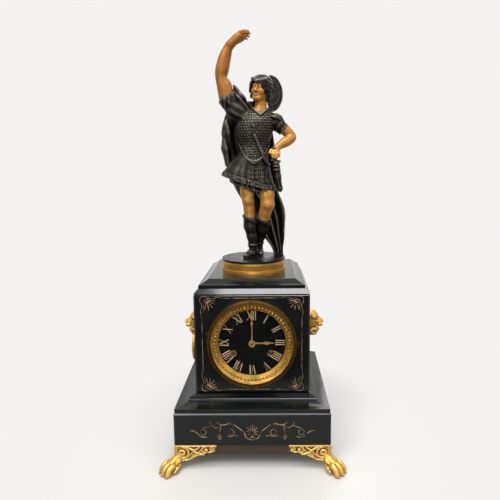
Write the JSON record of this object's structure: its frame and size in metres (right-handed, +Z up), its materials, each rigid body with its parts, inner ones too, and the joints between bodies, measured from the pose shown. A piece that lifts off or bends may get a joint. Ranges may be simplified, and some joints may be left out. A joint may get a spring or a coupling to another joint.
{
  "type": "figural clock",
  "caption": "Black slate mantel clock with gilt lion-mask sides, paw feet and hinged bezel, topped by a cast bronzed soldier raising one arm on a drum base.",
  "frame": {"origin": "on the table, under the middle of the plinth and its four paw feet", "axes": "+Z up, -Y is the dial side, +X is to the right of someone facing the dial"},
  "size_m": [0.3062, 0.2852, 0.7258],
  "materials": {
    "wood": "stained dark, dull",
    "slate": "polished black slate",
    "ormolu": "gilt, cast and chased, worn",
    "dark_brass": "turned, lacquer gone brown",
    "glass": "thick bevelled clear glass",
    "clock_brass": "rolled and turned brass",
    "steel": "turned steel",
    "bell_metal": "turned bell bronze",
    "dark_bronze": "cast zinc alloy with a black-brown patina",
    "gold_bronze": "cast zinc alloy with a golden patina",
    "copper_bronze": "cast zinc alloy with a copper-brown patina"
  },
  "bodies": {
    "case": {"sole_board": "wood", "plinth_front": "slate", "plinth_rear": "slate", "plinth_sides": "slate", "base_moulding": "slate", "case_front": "slate", "case_rear": "slate", "case_sides": "slate", "top_slab": "slate", "cap_block": "slate", "paw_feet": "ormolu", "foot_screws": "steel", "right_mask": "ormolu", "left_mask": "ormolu", "dial_ring": "dark_brass", "dial": "slate", "winding_grommets": "ormolu", "front_plate": "clock_brass", "rear_plate": "clock_brass", "plate_pillars": "clock_brass", "back_cock": "clock_brass", "bell": "bell_metal", "bell_stand": "steel", "strap_screws": "steel", "rear_ring": "dark_brass", "drum_band": "ormolu", "drum_plate": "dark_bronze", "fixing_stud": "steel", "tunic": "dark_bronze", "raised_arm": "copper_bronze", "hip_arm": "gold_bronze", "head": "gold_bronze", "helmet": "dark_bronze", "bare_legs": "gold_bronze", "boots": "dark_bronze", "cloak": "dark_bronze", "scabbard": "dark_bronze"},
    "bezel_door": {"bezel": "dark_brass", "bezel_glass": "glass", "sight_ring": "ormolu"},
    "back_door": {"rear_door": "dark_brass"},
    "handle_ring": {"left_ring": "ormolu"},
    "minute_body": {"minute_hand": "ormolu", "cannon_pinion": "clock_brass"},
    "hour_body": {"hour_hand": "ormolu", "hour_wheel": "clock_brass"},
    "minute_wheel_body": {"minute_wheel": "clock_brass"},
    "going_barrel_body": {"going_barrel": "clock_brass", "going_spring": "steel"},
    "strike_barrel_body": {"strike_barrel": "clock_brass", "strike_spring": "steel"},
    "going_arbor_body": {"going_arbor": "steel"},
    "strike_arbor_body": {"strike_arbor": "steel"},
    "second_body": {"second_wheel": "clock_brass"},
    "centre_body": {"centre_wheel": "clock_brass"},
    "third_body": {"third_wheel": "clock_brass"},
    "escape_body": {"escape_wheel": "clock_brass"},
    "pallets_body": {"pallets": "steel"},
    "pendulum_body": {"pendulum": "clock_brass"},
    "hammer_body": {"hammer": "steel"}
  },
  "joints": [
    {"name": "bezel_opens", "type": "hinge", "parent": "case", "child": "bezel_door", "pos_m": [0.0766, -0.0894, 0.20285], "axis": [0, 0, 1], "range_deg": [0, 110]},
    {"name": "back_door_opens", "type": "hinge", "parent": "case", "child": "back_door", "pos_m": [0.0766, 0.1209, 0.20285], "axis": [0, 0, -1], "range_deg": [0, 110]},
    {"name": "ring_swings", "type": "hinge", "parent": "case", "child": "handle_ring", "pos_m": [-0.111, 0.01575, 0.1879], "axis": [0, 1, 0], "range_deg": [-12, 80]},
    {"name": "minute_hand_turns", "type": "hinge", "parent": "case", "child": "minute_body", "pos_m": [0, -0.06, 0.20285], "axis": [0, 1, 0], "continuous": true},
    {"name": "hour_hand_turns", "type": "hinge", "parent": "case", "child": "hour_body", "pos_m": [0, -0.06, 0.20285], "axis": [0, 1, 0], "continuous": true},
    {"name": "minute_wheel_turns", "type": "hinge", "parent": "case", "child": "minute_wheel_body", "pos_m": [-0.012, -0.06, 0.20285], "axis": [0, 1, 0], "continuous": true},
    {"name": "escape_wheel_turns", "type": "hinge", "parent": "case", "child": "escape_body", "pos_m": [0, -0.06, 0.22861], "axis": [0, 1, 0], "continuous": true},
    {"name": "third_wheel_turns", "type": "hinge", "parent": "case", "child": "third_body", "pos_m": [-0.0127, -0.06, 0.21799], "axis": [0, 1, 0], "continuous": true},
    {"name": "centre_wheel_turns", "type": "hinge", "parent": "case", "child": "centre_body", "pos_m": [0, -0.06, 0.20285], "axis": [0, 1, 0], "continuous": true},
    {"name": "second_wheel_turns", "type": "hinge", "parent": "case", "child": "second_body", "pos_m": [0.01969, -0.06, 0.20636], "axis": [0, 1, 0], "continuous": true},
    {"name": "going_barrel_turns", "type": "hinge", "parent": "case", "child": "going_barrel_body", "pos_m": [0.031, -0.06, 0.18435], "axis": [0, 1, 0], "continuous": true},
    {"name": "strike_barrel_turns", "type": "hinge", "parent": "case", "child": "strike_barrel_body", "pos_m": [-0.031, -0.06, 0.18435], "axis": [0, 1, 0], "continuous": true},
    {"name": "going_winds", "type": "hinge", "parent": "case", "child": "going_arbor_body", "pos_m": [0.031, -0.06, 0.18435], "axis": [0, 1, 0], "continuous": true},
    {"name": "strike_winds", "type": "hinge", "parent": "case", "child": "strike_arbor_body", "pos_m": [-0.031, -0.06, 0.18435], "axis": [0, 1, 0], "continuous": true},
    {"name": "pendulum_swings", "type": "hinge", "parent": "case", "child": "pendulum_body", "pos_m": [0, -0.0084, 0.24161], "axis": [0, 1, 0], "range_deg": [-3, 3]},
    {"name": "pallets_rock", "type": "hinge", "parent": "case", "child": "pallets_body", "pos_m": [0, -0.0084, 0.24161], "axis": [0, 1, 0], "range_deg": [-3, 3]},
    {"name": "hammer_lifts", "type": "hinge", "parent": "case", "child": "hammer_body", "pos_m": [-0.044, 0, 0.21885], "axis": [0, -1, 0], "range_deg": [0, 15]}
  ],
  "couplings": [
    {"joint": "hour_hand_turns", "follows": "minute_hand_turns", "ratio": 0.083333},
    {"joint": "minute_wheel_turns", "follows": "minute_hand_turns", "ratio": -0.33333},
    {"joint": "third_wheel_turns", "follows": "escape_wheel_turns", "ratio": -0.095238},
    {"joint": "centre_wheel_turns", "follows": "escape_wheel_turns", "ratio": 0.0079365},
    {"joint": "second_wheel_turns", "follows": "escape_wheel_turns", "ratio": -0.0011338},
    {"joint": "going_barrel_turns", "follows": "escape_wheel_turns", "ratio": 0.00014172},
    {"joint": "pallets_rock", "follows": "pendulum_swings", "ratio": 1}
  ]
}
